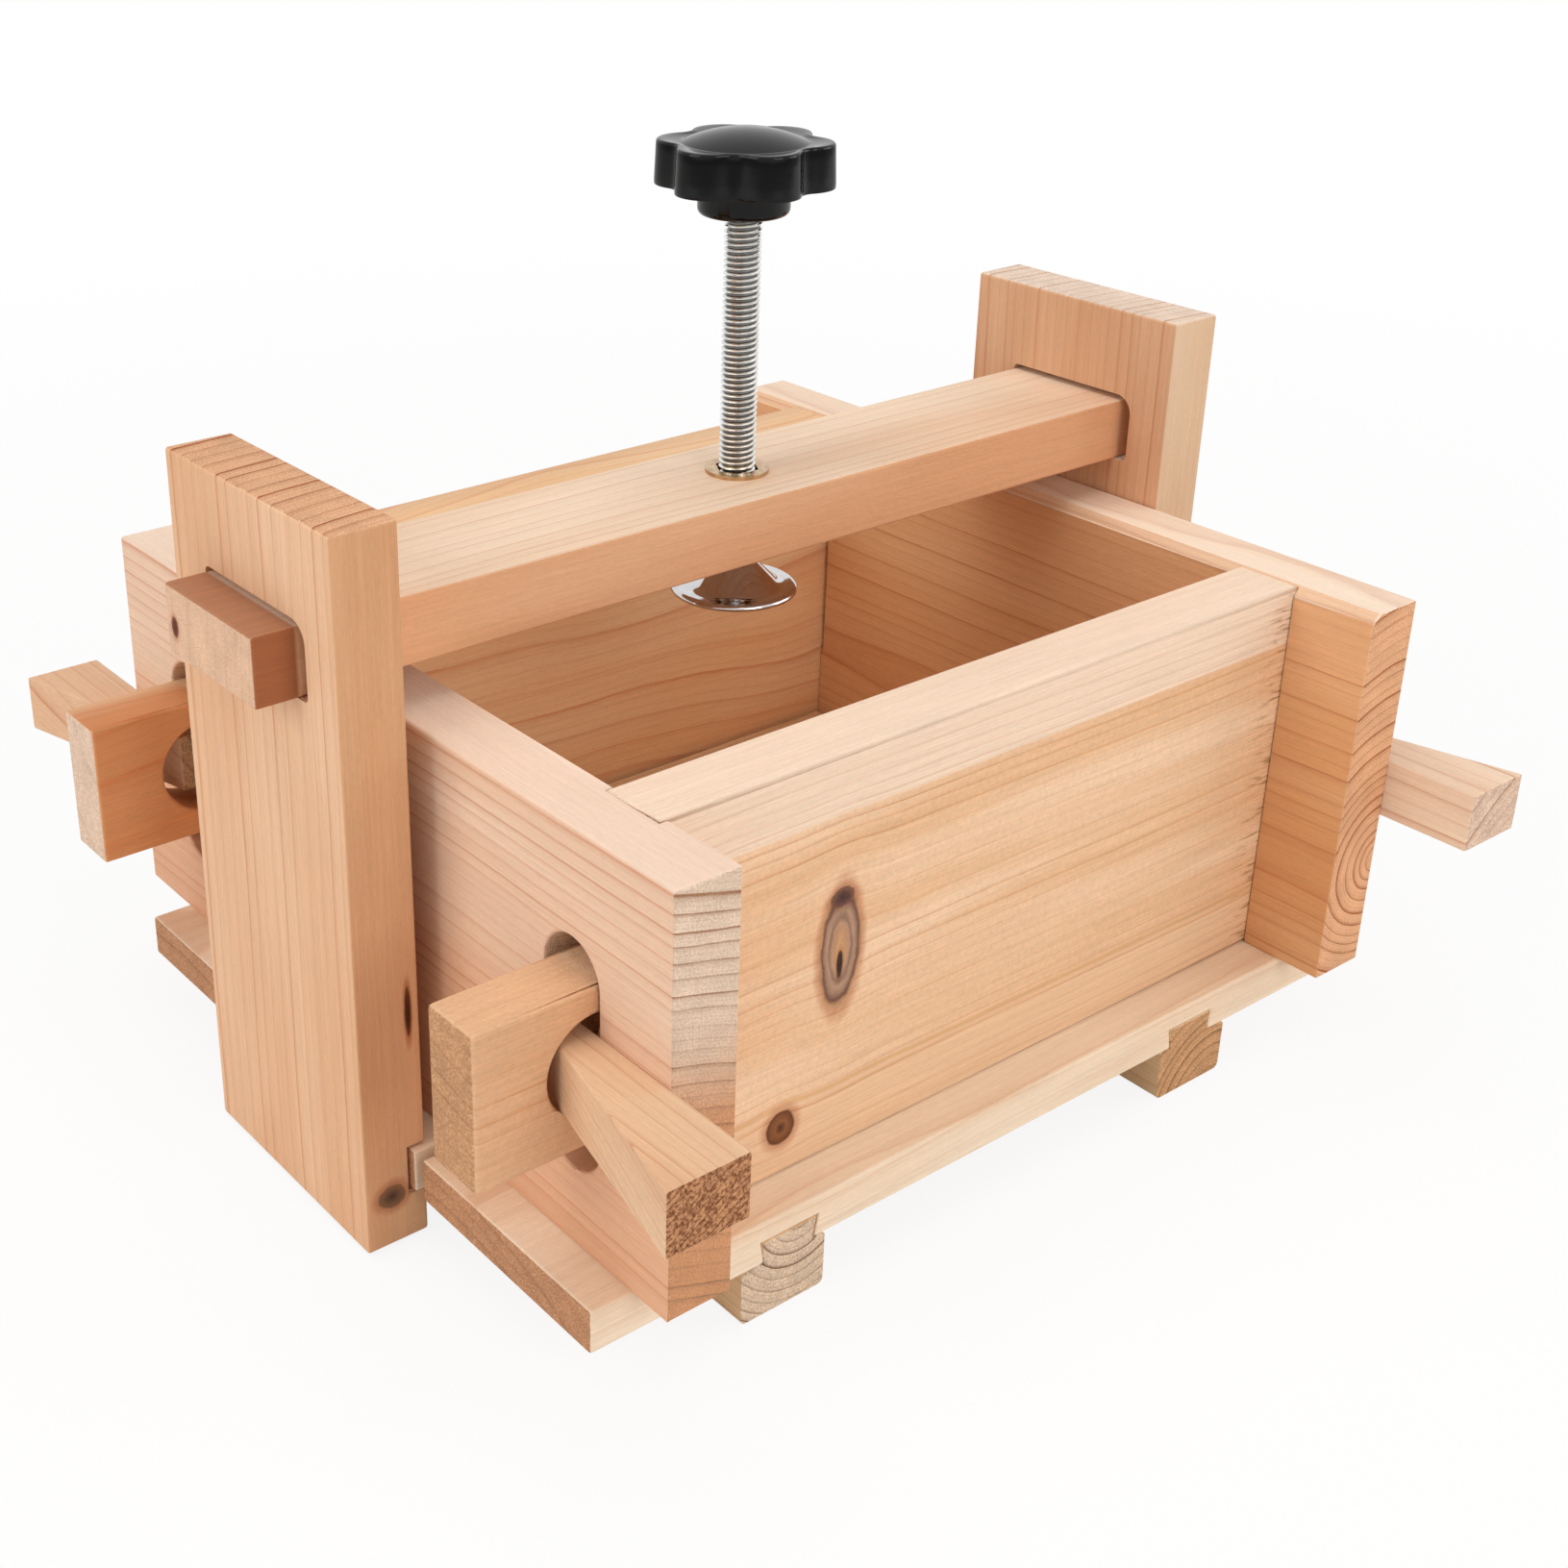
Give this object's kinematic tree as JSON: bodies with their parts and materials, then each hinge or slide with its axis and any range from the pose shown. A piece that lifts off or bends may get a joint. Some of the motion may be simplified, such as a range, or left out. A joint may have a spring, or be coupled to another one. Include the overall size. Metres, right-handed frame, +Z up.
{
  "type": "tofu press",
  "caption": "Wooden box press for bean curd: wedged box on a slatted base, with a hand screw and star knob running through a beam between two uprights.",
  "frame": {"origin": "on the table, under the screw's axis, in the middle of the press frame; the box was left 2.75 mm to the right", "axes": "+X along the box and the top beam, to the right as seen from the front; +Y from the front to the rear; +Z up along the screw"},
  "size_m": [0.2614, 0.2476, 0.2095],
  "materials": {
    "softwood": "planed, unfinished",
    "wedge_wood": "sawn, unfinished",
    "press_wood": "planed, unfinished",
    "yellow_zinc": "yellow zinc plate",
    "bright_zinc": "bright zinc plate",
    "black_phenolic": "moulded, glossy",
    "bush_brass": "turned",
    "foot_chrome": "polished chrome plate",
    "pad_plastic": "moulded, matt"
  },
  "bodies": {
    "root": {"base_plank_front": "softwood", "base_plank_centre": "softwood", "base_plank_rear": "softwood", "base_batten_left": "softwood", "base_batten_right": "softwood", "top_beam": "softwood", "threaded_insert": "yellow_zinc"},
    "box": {"end_board_left": "softwood", "end_board_right": "softwood", "side_board_front": "softwood", "side_board_rear": "softwood"},
    "wedge_front_left": {"wedge_front_left": "wedge_wood"},
    "wedge_front_right": {"wedge_front_right": "wedge_wood"},
    "wedge_rear_left": {"wedge_rear_left": "wedge_wood"},
    "wedge_rear_right": {"wedge_rear_right": "wedge_wood"},
    "upright_left": {"upright_left": "softwood"},
    "upright_right": {"upright_right": "softwood"},
    "foot": {"presser_foot": "foot_chrome", "foot_pad": "pad_plastic"},
    "screw": {"screw_rod": "bright_zinc", "star_knob": "black_phenolic", "knob_bush": "bush_brass"},
    "press": {"press_board": "press_wood", "press_rail": "press_wood"}
  },
  "joints": [
    {"name": "screw_travel", "type": "slide", "parent": "root", "child": "foot", "axis": [0, 0, 1], "range_m": [-0.05375, 0.005]},
    {"name": "screw_turn", "type": "hinge", "parent": "foot", "child": "screw", "pos_m": [0, 0, 0.108], "axis": [0, 0, 1], "range_deg": [-15481, 1441]},
    {"name": "press_lift", "type": "slide", "parent": "root", "child": "press", "axis": [0, 0, 1], "range_m": [0, 0.018]},
    {"name": "box_lift", "type": "slide", "parent": "root", "child": "box", "axis": [0, 0, 1], "range_m": [0, 0.008]},
    {"name": "upright_left_out", "type": "slide", "parent": "root", "child": "upright_left", "axis": [-1, 0, 0], "range_m": [0, 0.009]},
    {"name": "upright_right_out", "type": "slide", "parent": "root", "child": "upright_right", "axis": [1, 0, 0], "range_m": [0, 0.009]},
    {"name": "wedge_front_left_out", "type": "slide", "parent": "box", "child": "wedge_front_left", "axis": [0, -1, 0], "range_m": [0, 0.016]},
    {"name": "wedge_front_right_out", "type": "slide", "parent": "box", "child": "wedge_front_right", "axis": [0, -1, 0], "range_m": [0, 0.016]},
    {"name": "wedge_rear_left_out", "type": "slide", "parent": "box", "child": "wedge_rear_left", "axis": [0, 1, 0], "range_m": [0, 0.016]},
    {"name": "wedge_rear_right_out", "type": "slide", "parent": "box", "child": "wedge_rear_right", "axis": [0, 1, 0], "range_m": [0, 0.016]}
  ],
  "couplings": [
    {"joint": "screw_turn", "follows": "screw_travel", "rad_per_m": 5026.5}
  ]
}
